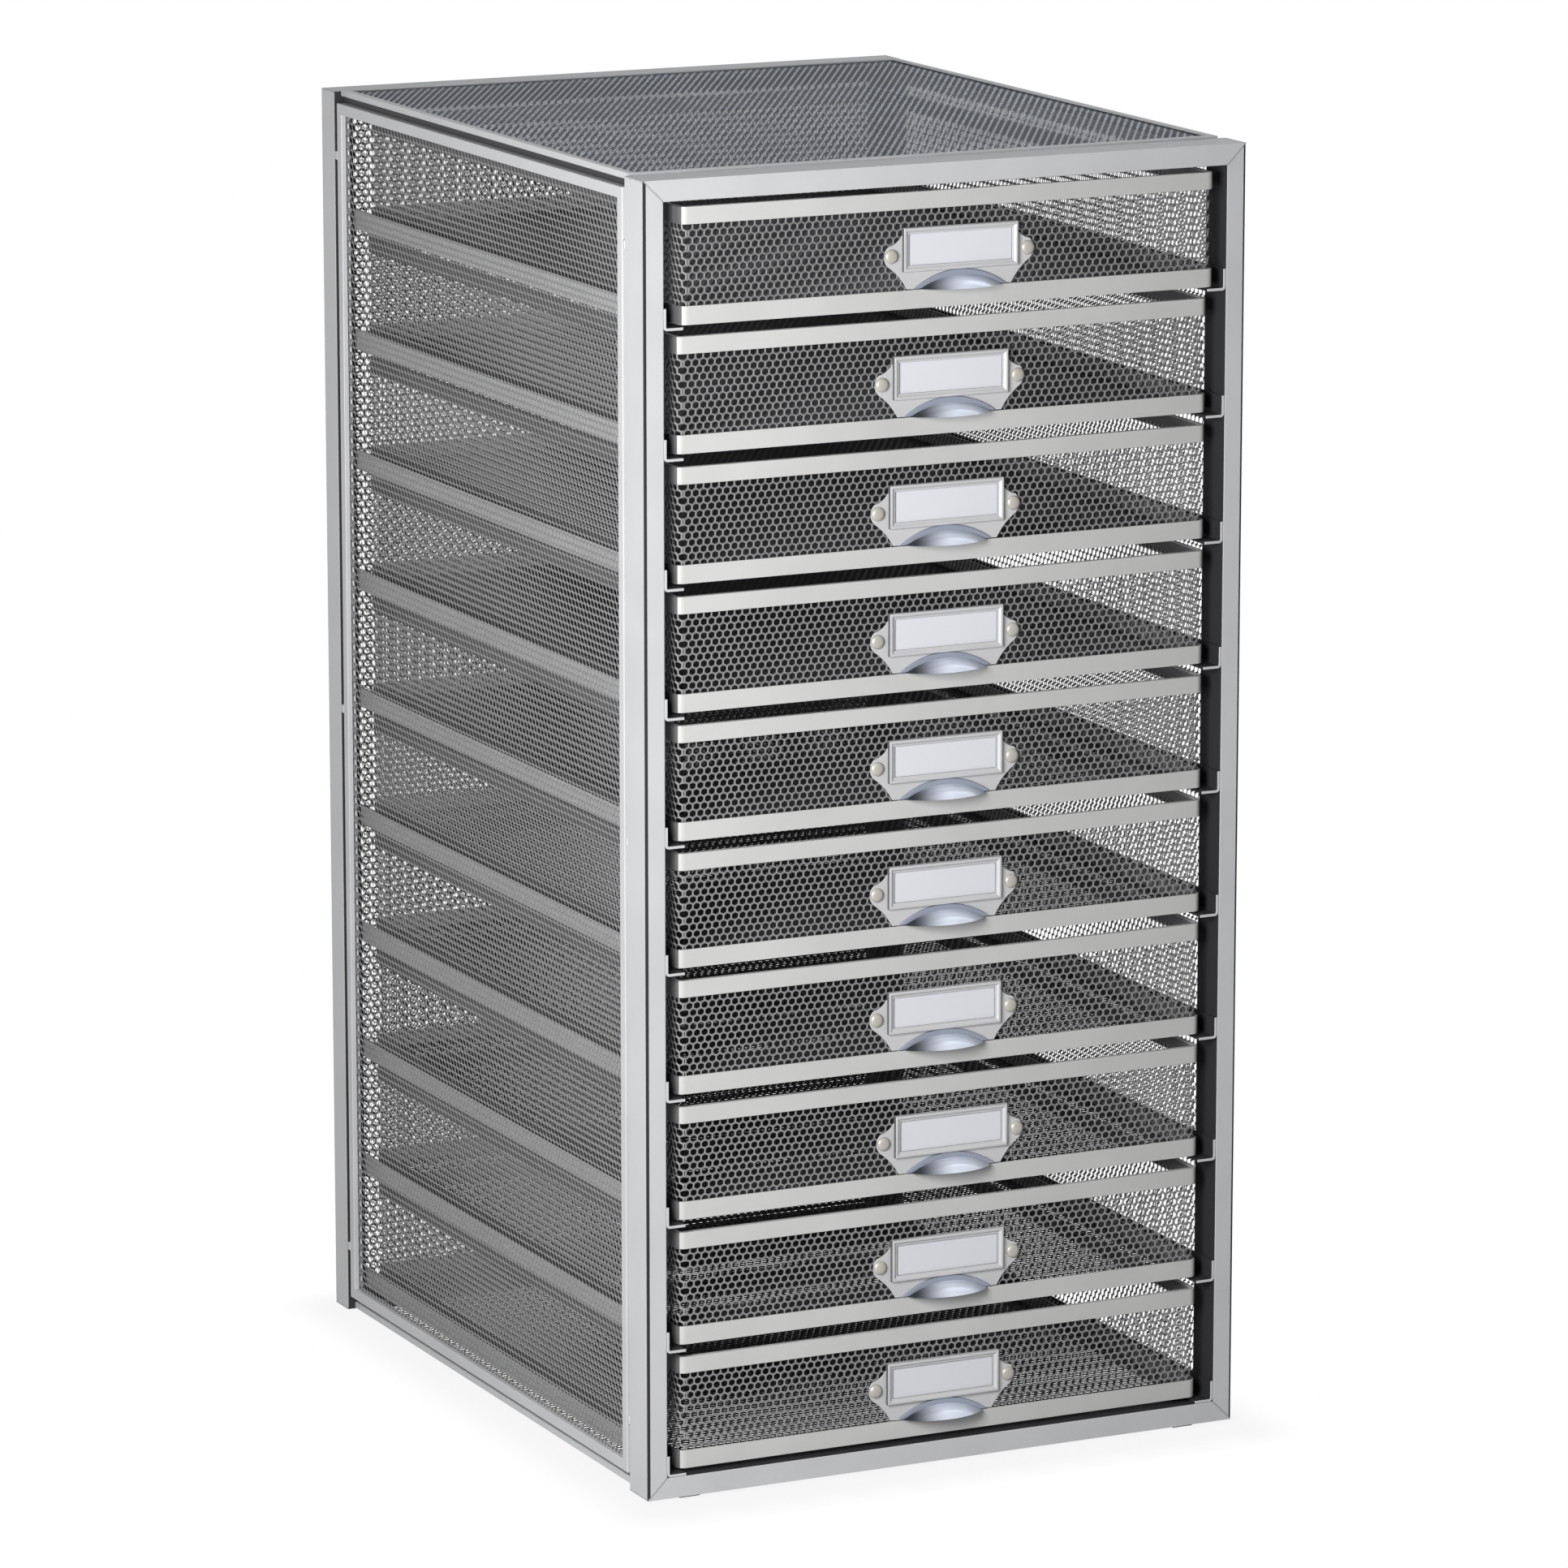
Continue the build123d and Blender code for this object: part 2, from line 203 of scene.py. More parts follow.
finishLook = {
    "shine": 0.25,
    "cloudScale": 28.0,
    "grainScale": 900.0,
    "grainStrength": 0.5,
    "grainHeight": 0.02 * mm,
    "weldShade": (0.62, 0.63, 0.66),
    "weldWander": 1.2 * mm,
    "darkPolish": (0.035, 0.04, 0.05),  # the dark end of a hood's painted reflection
}


def buildSatinGroup():
    # slow cloudiness and fine grain of lacquered steel, as a colour factor, a roughness and a height
    group, given, result = makeGroup(
        "satinLacquer",
        [
            ("Colour", "NodeSocketColor", (0.7, 0.7, 0.7, 1.0)),
            ("Cloudiness", "NodeSocketFloat", 0.05),
            ("Roughness", "NodeSocketFloat", 0.4),
            ("Grain Scale", "NodeSocketFloat", 900.0),
        ],
        [
            ("Colour", "NodeSocketColor"),
            ("Roughness", "NodeSocketFloat"),
            ("Height", "NodeSocketFloat"),
        ],
    )
    nodes = group.nodes
    links = group.links
    place = nodes.new("ShaderNodeTexCoord")
    cloud = nodes.new("ShaderNodeTexNoise")
    cloud.inputs["Scale"].default_value = finishLook["cloudScale"]
    cloud.inputs["Detail"].default_value = 4.0
    grain = nodes.new("ShaderNodeTexNoise")
    grain.inputs["Detail"].default_value = 2.0
    links.new(place.outputs["Object"], cloud.inputs["Vector"])
    links.new(place.outputs["Object"], grain.inputs["Vector"])
    links.new(given.outputs["Grain Scale"], grain.inputs["Scale"])
    centred = nodes.new("ShaderNodeMath")
    centred.operation = "SUBTRACT"
    centred.inputs[1].default_value = 0.5
    links.new(cloud.outputs["Fac"], centred.inputs[0])
    amount = nodes.new("ShaderNodeMath")
    amount.operation = "MULTIPLY_ADD"
    amount.inputs[2].default_value = 1.0
    links.new(centred.outputs[0], amount.inputs[0])
    links.new(given.outputs["Cloudiness"], amount.inputs[1])
    tint = nodes.new("ShaderNodeMix")
    tint.data_type = "RGBA"
    tint.blend_type = "MULTIPLY"
    tint.inputs["Factor"].default_value = 1.0
    links.new(given.outputs["Colour"], tint.inputs["A"])
    links.new(amount.outputs[0], tint.inputs["B"])
    links.new(tint.outputs["Result"], result.inputs["Colour"])
    roughness = nodes.new("ShaderNodeMath")
    roughness.operation = "MULTIPLY"
    links.new(amount.outputs[0], roughness.inputs[0])
    links.new(given.outputs["Roughness"], roughness.inputs[1])
    links.new(roughness.outputs[0], result.inputs["Roughness"])
    links.new(grain.outputs["Fac"], result.inputs["Height"])
    return group


satinGroup = buildSatinGroup()


def buildMitreGroup():
    # a ground weld line across each corner of a rectangular frame, as a mask
    group, given, result = makeGroup(
        "mitreLine",
        [
            ("Half Width", "NodeSocketFloat", 0.143),
            ("Low", "NodeSocketFloat", 0.002),
            ("High", "NodeSocketFloat", 0.574),
            ("Bar", "NodeSocketFloat", 0.0093),
        ],
        [("Mask", "NodeSocketFloat")],
    )
    nodes = group.nodes
    links = group.links

    def calculate(operation, first, second):
        step = nodes.new("ShaderNodeMath")
        step.operation = operation
        for index, value in enumerate((first, second)):
            if isinstance(value, (int, float)):
                step.inputs[index].default_value = value
            elif value is not None:
                links.new(value, step.inputs[index])
        return step.outputs[0]

    place = nodes.new("ShaderNodeTexCoord")
    parts = nodes.new("ShaderNodeSeparateXYZ")
    links.new(place.outputs["Object"], parts.inputs[0])
    fromMiddle = calculate("ABSOLUTE", parts.outputs["X"], None)
    sideways = calculate("SUBTRACT", given.outputs["Half Width"], fromMiddle)
    fromLow = calculate("SUBTRACT", parts.outputs["Z"], given.outputs["Low"])
    fromHigh = calculate("SUBTRACT", given.outputs["High"], parts.outputs["Z"])
    upright = calculate("MINIMUM", fromLow, fromHigh)
    wander = nodes.new("ShaderNodeTexNoise")
    wander.inputs["Scale"].default_value = 260.0
    links.new(place.outputs["Object"], wander.inputs["Vector"])
    centred = calculate("SUBTRACT", wander.outputs["Fac"], 0.5)
    shift = calculate("MULTIPLY", centred, finishLook["weldWander"])
    straight = calculate("SUBTRACT", sideways, upright)
    offLine = calculate("ABSOLUTE", calculate("ADD", straight, shift), None)
    line = nodes.new("ShaderNodeMapRange")
    line.interpolation_type = "SMOOTHSTEP"
    line.inputs["From Min"].default_value = 0.1 * mm
    line.inputs["From Max"].default_value = 0.9 * mm
    line.inputs["To Min"].default_value = 1.0
    line.inputs["To Max"].default_value = 0.0
    links.new(offLine, line.inputs["Value"])
    inCorner = calculate("LESS_THAN", calculate("MAXIMUM", sideways, upright), given.outputs["Bar"])
    links.new(calculate("MULTIPLY", line.outputs["Result"], inCorner), result.inputs["Mask"])
    return group


mitreGroup = buildMitreGroup()


def satinMetal(name, colour, metallic=0.04, roughness=0.42, cloudiness=0.2):
    # clear lacquered steel, and with no metal in it the card and the pads
    material = bpy.data.materials.new(name)
    material.use_nodes = True
    nodes = material.node_tree.nodes
    links = material.node_tree.links
    shader = nodes["Principled BSDF"]
    shader.inputs["Metallic"].default_value = metallic
    shader.inputs["Specular IOR Level"].default_value = finishLook["shine"]
    lacquer = nodes.new("ShaderNodeGroup")
    lacquer.node_tree = satinGroup
    lacquer.inputs["Colour"].default_value = (*colour, 1.0)
    lacquer.inputs["Cloudiness"].default_value = cloudiness
    lacquer.inputs["Roughness"].default_value = roughness
    lacquer.inputs["Grain Scale"].default_value = finishLook["grainScale"]
    bump = nodes.new("ShaderNodeBump")
    bump.inputs["Strength"].default_value = finishLook["grainStrength"]
    bump.inputs["Distance"].default_value = finishLook["grainHeight"]
    links.new(lacquer.outputs["Colour"], shader.inputs["Base Color"])
    links.new(lacquer.outputs["Roughness"], shader.inputs["Roughness"])
    links.new(lacquer.outputs["Height"], bump.inputs["Height"])
    links.new(bump.outputs["Normal"], shader.inputs["Normal"])
    return material


def tinted(material, mask, shade):
    # multiplies a material's colour by a shade where a mask is on
    nodes = material.node_tree.nodes
    links = material.node_tree.links
    colour = nodes["Principled BSDF"].inputs["Base Color"]
    mix = nodes.new("ShaderNodeMix")
    mix.data_type = "RGBA"
    mix.blend_type = "MULTIPLY"
    mix.inputs["B"].default_value = (*shade, 1.0)
    links.new(colour.links[0].from_socket, mix.inputs["A"])
    links.new(mask, mix.inputs["Factor"])
    links.new(mix.outputs["Result"], colour)


def addMitreLines(material):
    group = material.node_tree.nodes.new("ShaderNodeGroup")
    group.node_tree = mitreGroup
    low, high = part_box("front_frame_left_post")
    group.inputs["Half Width"].default_value = -low.x
    group.inputs["Low"].default_value = low.z
    group.inputs["High"].default_value = high.z
    group.inputs["Bar"].default_value = high.x - low.x  # the width of a post
    tinted(material, group.outputs["Mask"], finishLook["weldShade"])


def addPaintedReflection(material):
    # painted reflection: the colour runs from dark to light across a hood, as each hood's painted
    # reflection attribute says
    nodes = material.node_tree.nodes
    links = material.node_tree.links
    colour = nodes["Principled BSDF"].inputs["Base Color"]
    tone = nodes.new("ShaderNodeAttribute")
    tone.attribute_name = "tone"
    mix = nodes.new("ShaderNodeMix")
    mix.data_type = "RGBA"
    mix.inputs["A"].default_value = (*finishLook["darkPolish"], 1.0)
    links.new(colour.links[0].from_socket, mix.inputs["B"])
    links.new(tone.outputs["Fac"], mix.inputs["Factor"])
    links.new(mix.outputs["Result"], colour)


print("materials")
silverSteel = satinMetal("silverSteel", (0.61, 0.615, 0.625))
frameSteel = satinMetal("frameSteel", (0.61, 0.615, 0.625))
addMitreLines(frameSteel)
# painted shade: a near-black copy of the steel for faces that stand in shade
insideSteel = satinMetal("insideSteel", (0.035, 0.035, 0.038), roughness=0.5)
rimSteel = satinMetal("rimSteel", (0.60, 0.60, 0.59), roughness=0.4)
shadedSteel = satinMetal("shadedSteel", (0.13, 0.13, 0.135), roughness=0.5)
meshSteel = satinMetal("meshSteel", (0.31, 0.31, 0.315), metallic=0.1, roughness=0.4)
# painted shade: the side panels' strands take this darker copy of the mesh steel
sideSteel = satinMetal("sideSteel", (0.24, 0.24, 0.24), metallic=0.1, roughness=0.4)
meshShade = satinMetal("meshShade", (0.15, 0.15, 0.155), metallic=0.1, roughness=0.4)
# painted shade: a near-black copy of the steel for the drawer floors and the back panel
floorSteel = satinMetal("floorSteel", (0.045, 0.045, 0.048), roughness=0.45)
# painted light and shade: a bright bluish copy of the mesh steel and a dark one for the top panel's two
# diagonals
topSteel = satinMetal("topSteel", (0.50, 0.53, 0.60), metallic=0.1, roughness=0.38)
topShade = satinMetal("topShade", (0.085, 0.09, 0.105), metallic=0.1, roughness=0.45)
pullSteel = satinMetal("pullSteel", (0.60, 0.60, 0.61), metallic=0.12, roughness=0.33, cloudiness=0.08)
# painted reflection: the hood's bluish white and its dark left end stand in for reflections
hoodSteel = satinMetal("hoodSteel", (0.74, 0.79, 0.90), metallic=0.25, roughness=0.25, cloudiness=0.05)
addPaintedReflection(hoodSteel)
beadSteel = satinMetal("beadSteel", (0.30, 0.33, 0.40), metallic=0.3, roughness=0.25)
rivetSteel = satinMetal("rivetSteel", (0.50, 0.48, 0.43), metallic=0.2, roughness=0.35)
cardPaper = satinMetal("cardPaper", (0.77, 0.78, 0.83), metallic=0.0, roughness=0.6, cloudiness=0.03)
padRubber = satinMetal("padRubber", (0.02, 0.02, 0.02), metallic=0.0, roughness=0.7)


meshLook = {
    "pitch": 3.6 * mm,        # from hole to hole along a row
    "rowHeight": 3.0 * mm,
    "zigzag": 0.5 * mm,
    "strand": 0.78 * mm,
    "tilt": 0.28 * mm,        # each strand leans, as slit and stretched steel does
    "topTilt": -0.17 * mm,
    "floorTilt": -0.32 * mm,  # drawer floors look closed from the front
    "backStrand": 1.15 * mm,  # the back panel is a heavier mesh
}


def meshSheet(width, height, strand=meshLook["strand"], tilt=meshLook["tilt"]):
    # a flat sheet of expanded mesh on XY, centred, with its rows along X. A grid loses every
    # other upright edge, as bricks do, its lines are bent to a zigzag, and its edges become strands
    halfPitch = meshLook["pitch"] / 2
    row = meshLook["rowHeight"]
    columns = 2 * (int(width / halfPitch / 2) + 3)  # a little past the sheet on each side
    rows = int(height / row) + 3
    bm = bmesh.new()
    bmesh.ops.create_grid(bm, x_segments=columns, y_segments=rows, size=0.5)
    bmesh.ops.scale(bm, vec=(columns * halfPitch, rows * row, 1.0), verts=bm.verts)
    left = -columns * halfPitch / 2
    low = -rows * row / 2
    unwanted = []
    for edge in bm.edges:
        a, b = edge.verts
        if abs(a.co.x - b.co.x) > halfPitch / 2 or len(edge.link_faces) < 2:
            continue
        column = round((a.co.x - left) / halfPitch)
        line = round((min(a.co.y, b.co.y) - low) / row)
        if (column + line) % 2:
            unwanted.append(edge)
    for vert in bm.verts:
        column = round((vert.co.x - left) / halfPitch)
        line = round((vert.co.y - low) / row)
        vert.co.y += meshLook["zigzag"] * (-1 if (column + line) % 2 else 1)
    bmesh.ops.dissolve_edges(bm, edges=unwanted, use_verts=False)
    inner = [edge for edge in bm.edges if len(edge.link_faces) == 2]
    bmesh.ops.bevel(
        bm, geom=inner, offset=strand / 2, offset_type="OFFSET", segments=1,
        profile=0.5, affect="EDGES", clamp_overlap=False, material=-1,
    )
    holes = [face for face in bm.faces if len(face.verts) > 4]
    for hole in holes:
        middle = hole.calc_center_median()
        for vert in hole.verts:
            vert.co.z = tilt * (vert.co.y - middle.y) / (row / 2)
    bmesh.ops.delete(bm, geom=holes, context="FACES")
    # strands on one diagonal take the second material, as they lean away from the light
    for face in bm.faces:
        longest = max(face.edges, key=lambda edge: edge.calc_length())
        along = longest.verts[1].co - longest.verts[0].co
        face.material_index = 1 if along.x * along.y > 0.1 * along.length_squared else 0
    trim(bm, (width / 2, 0, 0), (1, 0, 0))
    trim(bm, (-width / 2, 0, 0), (-1, 0, 0))
    trim(bm, (0, height / 2, 0), (0, 1, 0))
    trim(bm, (0, -height / 2, 0), (0, -1, 0))
    return bm


def boxOf(node):
    # its low corner, high corner, middle and size
    low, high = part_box(node)
    return low, high, (low + high) / 2, high - low


# these turn a sheet on XY so that its rows run level and its face looks the way it says
facing = {
    "left": Matrix(((0, 0, -1), (-1, 0, 0), (0, 1, 0))).to_4x4(),
    "right": Matrix(((0, 0, 1), (1, 0, 0), (0, 1, 0))).to_4x4(),
    "front": Matrix(((1, 0, 0), (0, 0, -1), (0, 1, 0))).to_4x4(),
    "back": Matrix(((-1, 0, 0), (0, 0, 1), (0, 1, 0))).to_4x4(),
    "up": Matrix.Identity(4),
    "down": Matrix(((1, 0, 0), (0, -1, 0), (0, 0, -1))).to_4x4(),
}


def panelOfMesh(node, look):
    _, _, middle, size = boxOf(node)
    if look in ("left", "right"):
        bm = meshSheet(size.y, size.z)
    elif look in ("front", "back"):
        bm = meshSheet(size.x, size.z, strand=meshLook["backStrand"])
    else:
        bm = meshSheet(size.x, size.y, tilt=meshLook["topTilt"])
    turned(bm, facing[look])
    movedBy(bm, middle)
    # painted light and shade: each panel takes its own lit or shaded copies of the steel for its two
    # diagonals
    material, shade = {
        "up": (topShade, topSteel),
        "back": (shadedSteel, floorSteel),
        "left": (sideSteel, meshShade),
        "right": (sideSteel, meshShade),
    }.get(look, (meshSteel, meshShade))
    piece = addPiece(node + "_strands", bm, material, "cabinet", hides=(node,))
    piece.data.materials.append(shade)


print("mesh panels")
panelOfMesh("left_panel_mesh", "left")
panelOfMesh("right_panel_mesh", "right")
panelOfMesh("back_panel_mesh", "back")
panelOfMesh("top_panel_mesh", "up")
panelOfMesh("bottom_panel_mesh", "down")


cabinetLook = {
    "frameEdge": 0.45 * mm,
    "rimEdge": 0.35 * mm,
    "shortestLongEdge": 40 * mm,
    "seamWidth": 1.2 * mm,        # the open fold line down the front posts
    "seamDepth": 0.7 * mm,
    "skirtSheet": 0.8 * mm,
    "skirtInset": 1.2 * mm,
    "skirtPlay": 0.05 * mm,
    "runnerFlange": 9.0 * mm,
    "runnerLeg": 9.5 * mm,
    "runnerSheet": 1.2 * mm,
    "runnerBend": 1.7 * mm,
    "runnerEdge": 0.15 * mm,
    "runnerClearance": 0.3 * mm,  # from a drawer's hems down to its flange
    "beadEdge": 0.75 * mm,
    "padEdge": 0.4 * mm,
}


def inSeam(spot, margin=0.02 * mm):
    low, high = frontRail
    sideways = high.x - abs(spot.x)
    backwards = spot.y - low.y
    look = cabinetLook
    return sideways < look["seamWidth"] + margin and backwards < look["seamDepth"] + margin


# which way each bar's inner face looks
inwards = {
    "left_post": Vector((1, 0, 0)),
    "right_post": Vector((-1, 0, 0)),
    "top_rail": Vector((0, 0, -1)),
    "bottom_rail": Vector((0, 0, 1)),
}


def roundedBars(node, width, material):
    # only the long edges are rounded, so that mitred ends still meet
    bm = copyOfNode(node)
    edges = []
    for edge in bm.edges:
        isLong = edge.calc_length() >= cabinetLook["shortestLongEdge"]
        if len(edge.link_faces) < 2 or not isLong or edge.calc_face_angle() < radians(30):
            continue
        if not all(inSeam(vert.co) for vert in edge.verts):
            edges.append(edge)
    roundEdges(bm, edges, width, 2)
    piece = addPiece(node + "_rounded", bm, material, "cabinet", hides=(node,))
    piece.data.shade_flat()
    return piece


def buildFrame(frameName):
    # painted shade: the inner faces, the fold line and the back frame's face towards the drawers are dark
    isFront = frameName == "front_frame_"
    for bar in inwards:
        piece = roundedBars(frameName + bar, cabinetLook["frameEdge"], frameSteel)
        isPost = bar.endswith("post")
        darkenFaces(
            piece, insideSteel,
            lambda spot, normal: normal.dot(inwards[bar]) > 0.8
            or isFront and isPost and inSeam(spot)
            or not isFront and normal.y < -0.8,
        )


def roundedBlocks(node, width, material):
    bm = copyOfNode(node)
    bevelSharpEdges(bm, width, 3)
    piece = addPiece(node + "_rounded", bm, material, "cabinet", hides=(node,))
    smoothShade(piece, 60)


def bentRunners():
    # each runner is a strip bent up along the post, with its flange just under a drawer's hems,
    # drawn as a profile at the front, pulled back into a sheet and given its thickness
    look = cabinetLook
    low, high, _, size = boxOf("drawer_runners")
    bend = look["runnerBend"]
    bm = bmesh.new()
    for drawer in drawerNames:
        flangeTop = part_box(drawer + "_rims")[0].z - look["runnerClearance"]
        flangeLow = flangeTop - look["runnerSheet"]
        for side in (-1, 1):
            strip = bmesh.new()
            vert = strip.verts.new((high.x - look["runnerFlange"], flangeLow, 0))
            vert = lineTo(strip, vert, (high.x - bend, flangeLow))
            vert = arcTo(strip, vert, (high.x, flangeLow + bend), bend * (1 - sqrt(0.5)), 6)
            lineTo(strip, vert, (high.x, flangeLow + look["runnerLeg"]))
            made = bmesh.ops.extrude_edge_only(strip, edges=strip.edges[:])["geom"]
            verts = [part for part in made if isinstance(part, bmesh.types.BMVert)]
            bmesh.ops.translate(strip, verts=verts, vec=(0, 0, -size.y))
            bmesh.ops.recalc_face_normals(strip, faces=strip.faces[:])
            flange = min(strip.faces, key=lambda face: face.calc_center_median().y)
            if flange.normal.y > 0:
                bmesh.ops.reverse_faces(strip, faces=strip.faces[:])
            bmesh.ops.solidify(strip, geom=strip.faces[:], thickness=look["runnerSheet"])
            bevelSharpEdges(strip, look["runnerEdge"], 1, 50)
            turned(strip, facing["front"])
            movedBy(strip, (0, low.y, 0))
            if side < 0:
                bmesh.ops.scale(strip, vec=(-1, 1, 1), verts=strip.verts)
                bmesh.ops.reverse_faces(strip, faces=strip.faces[:])
            addTo(bm, strip)
    piece = addPiece("runners_bent", bm, silverSteel, "cabinet", hides=("drawer_runners",))
    smoothShade(piece)
    # painted shade: apart from their cut ends and the legs' outer faces, the runners are near-black
    darkenFaces(piece, insideSteel, lambda spot, normal: abs(normal.y) < 0.5 and normal.x * spot.x < 0.05)


def buildSkirts():
    # a fold under each side of the top panel, which closes the slot over the side panels; it is dark as
    # painted shade
    lidLow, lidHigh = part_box("top_panel_rim")
    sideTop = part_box("left_panel_rim")[1].z
    look = cabinetLook
    height = lidLow.z - sideTop
    length = lidHigh.y - lidLow.y - 2 * look["skirtSheet"]
    bm = bmesh.new()
    for side in (-1, 1):
        made = bmesh.ops.create_cube(bm, size=1.0)["verts"]
        bmesh.ops.scale(bm, vec=(look["skirtSheet"], length, height), verts=made)
        x = side * (lidHigh.x - look["skirtInset"])
        place = (x, (lidLow.y + lidHigh.y) / 2, sideTop + height / 2 + look["skirtPlay"])
        bmesh.ops.translate(bm, vec=place, verts=made)
    addPiece("top_panel_skirts", bm, insideSteel, "cabinet")


print("cabinet")
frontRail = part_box("front_frame_top_rail")  # as wide and as far forward as the front frame
for frameName in ("front_frame_", "back_frame_"):
    buildFrame(frameName)
for panel in ("left", "right", "top", "bottom"):
    roundedBars(panel + "_panel_rim", cabinetLook["rimEdge"], silverSteel)
buildSkirts()
bentRunners()
roundedBlocks("weld_tacks", cabinetLook["beadEdge"], silverSteel)
roundedBlocks("rubber_feet", cabinetLook["padEdge"], padRubber)


basketLook = {
    "cornerRadius": 3.0 * mm,
    "sheet": 0.8 * mm,
    "floorReach": 0.9 * mm,  # level strands lower than this are the floor's
}


def wrapAround(bm, width, depth, radius):
    # bends an upright strip, with its length along X from 0, round a rounded rectangle. Each
    # side has a straight and then a quarter turn
    straight = [width - 2 * radius, depth - 2 * radius] * 2
    quarter = pi * radius / 2
    starts = [
        (Vector((-width / 2 + radius, 0)), 0.0),
        (Vector((width / 2, radius)), pi / 2),
        (Vector((width / 2 - radius, depth)), pi),
        (Vector((-width / 2, depth - radius)), 1.5 * pi),
    ]
    for vert in bm.verts:
        along = vert.co.x
        out = vert.co.y
        for side in range(4):
            start, heading = starts[side]
            ahead = Vector((cos(heading), sin(heading)))
            away = Vector((ahead.y, -ahead.x))
            if along <= straight[side]:
                spot = start + ahead * along + away * out
                break
            if along <= straight[side] + quarter or side == 3:
                turn = min((along - straight[side]) / radius, pi / 2)
                centre = start + ahead * straight[side] - away * radius
                spot = centre + (away * cos(turn) + ahead * sin(turn)) * (radius + out)
                break
            along -= straight[side] + quarter
        vert.co.x = spot.x
        vert.co.y = spot.y


def buildBasket(width, depth, height):
    # one strip wound round the corners makes the walls. The front is on Y = 0
    radius = basketLook["cornerRadius"]
    inset = basketLook["sheet"] / 2
    girth = 2 * (width + depth - 4 * radius) + 2 * pi * (radius - inset)
    bm = meshSheet(girth, height)
    turned(bm, facing["front"])
    movedBy(bm, (girth / 2, 0, height / 2))
    for vert in bm.verts:
        vert.co.y = -vert.co.y
    wrapAround(bm, width - 2 * inset, depth - 2 * inset, radius - inset)
    movedBy(bm, (0, inset, 0))
    floor = meshSheet(width - 2 * inset, depth - 2 * inset, tilt=meshLook["floorTilt"])
    movedBy(floor, (0, depth / 2, inset))
    addTo(bm, floor)
    return bm


rimLook = {
    "sheet": 0.8 * mm,
    "cornerRadius": 3.8 * mm,
    "topHeight": 7.5 * mm,
    "liningHeight": 5.0 * mm,
    "topWidth": 2.4 * mm,
    "bottomHeight": 8.0 * mm,
    "lipWidth": 6.8 * mm,
    "hemWidth": 3.0 * mm,
    "hemHeight": 0.8 * mm,
    "hemEndGap": 12.0 * mm,
    "edge": 0.22 * mm,
}


def bandShell(width, depth, flatWidth, outerFall, innerFall):
    # a folded band as a shell: a flat ring with a wall along its outside and maybe its inside
    radius = rimLook["cornerRadius"]
    bm = bmesh.new()
    bmesh.ops.create_grid(bm, x_segments=1, y_segments=1, size=0.5)
    bmesh.ops.scale(bm, vec=(width, depth, 1.0), verts=bm.verts)
    bmesh.ops.bevel(
        bm, geom=bm.verts[:], offset=radius, offset_type="OFFSET", segments=6,
        profile=0.5, affect="VERTICES", clamp_overlap=True, material=-1,
    )
    middle = bm.faces[:][0]
    for inset in (min(flatWidth, radius), max(flatWidth - radius, 0)):
        if inset:
            bmesh.ops.inset_region(
                bm, faces=[middle], thickness=inset, use_even_offset=True, use_boundary=True
            )
            bmesh.ops.remove_doubles(bm, verts=middle.verts[:], dist=0.2 * mm)
            middle = max(bm.faces, key=lambda face: face.calc_area())
    outerEdges = [edge for edge in bm.edges if len(edge.link_faces) == 1]
    innerEdges = list(middle.edges)
    bmesh.ops.delete(bm, geom=[middle], context="FACES_ONLY")
    for edges, fall in ((outerEdges, outerFall), (innerEdges, innerFall)):
        if fall:
            grown = bmesh.ops.extrude_edge_only(bm, edges=edges)["geom"]
            verts = [part for part in grown if isinstance(part, bmesh.types.BMVert)]
            bmesh.ops.translate(bm, verts=verts, vec=(0, 0, fall))
    movedBy(bm, (0, depth / 2, 0))
    bmesh.ops.recalc_face_normals(bm, faces=bm.faces[:])
    flat = max(bm.faces, key=lambda face: abs(face.normal.z) * face.calc_area())
    if flat.normal.z * outerFall > 0:
        bmesh.ops.reverse_faces(bm, faces=bm.faces[:])
    return bm


def addThickness(piece, thickness, edge):
    wall = piece.modifiers.new("wall", "SOLIDIFY")
    wall.thickness = thickness
    wall.offset = -1.0
    wall.use_even_offset = True
    soften = piece.modifiers.new("edges", "BEVEL")
    soften.width = edge
    soften.segments = 1
    soften.harden_normals = True
    soften.limit_method = "ANGLE"
    soften.angle_limit = radians(40)
    smoothShade(piece, 35.0, False)


def addBands(drawer):
    # the bands' sides stand in the frame's shadow
    look = rimLook
    low, high, _, size = boxOf(drawer + "_rims")
    top = bandShell(size.x, size.y, look["topWidth"], -look["topHeight"], -look["liningHeight"])
    movedBy(top, (0, low.y, high.z))
    bottom = bandShell(size.x, size.y, look["lipWidth"], look["bottomHeight"], 0)
    movedBy(bottom, (0, low.y, low.z + look["hemHeight"]))
    for label, bm, hides in (("_top_band", top, ()), ("_bottom_band", bottom, (drawer + "_rims",))):
        band = addPiece(drawer + label, bm, rimSteel, drawer, hides=hides)
        darkenFaces(band, shadedSteel, lambda spot, normal: abs(normal.x) > 0.7)
        addThickness(band, look["sheet"], look["edge"])


def addHems(drawer):
    # the strips under the bottom band that glide on the runners
    look = rimLook
    low, _, middle, size = boxOf(drawer + "_rims")
    length = size.y - 2 * look["hemEndGap"]
    bm = bmesh.new()
    for side in (-1, 1):
        made = bmesh.ops.create_cube(bm, size=1.0)["verts"]
        bmesh.ops.scale(bm, vec=(look["hemWidth"], length, look["hemHeight"]), verts=made)
        x = side * (size.x - look["hemWidth"]) / 2
        place = (x, middle.y, low.z + look["hemHeight"] / 2)
        bmesh.ops.translate(bm, vec=place, verts=made)
    bevelSharpEdges(bm, look["edge"])
    addPiece(drawer + "_hems", bm, rimSteel, drawer)


print("drawers")
size = boxOf(drawerNames[0] + "_basket")[3]
basket = buildBasket(size.x, size.y, size.z)
basketShape = bpy.data.meshes.new("basketShape")
basket.to_mesh(basketShape)
basket.free()

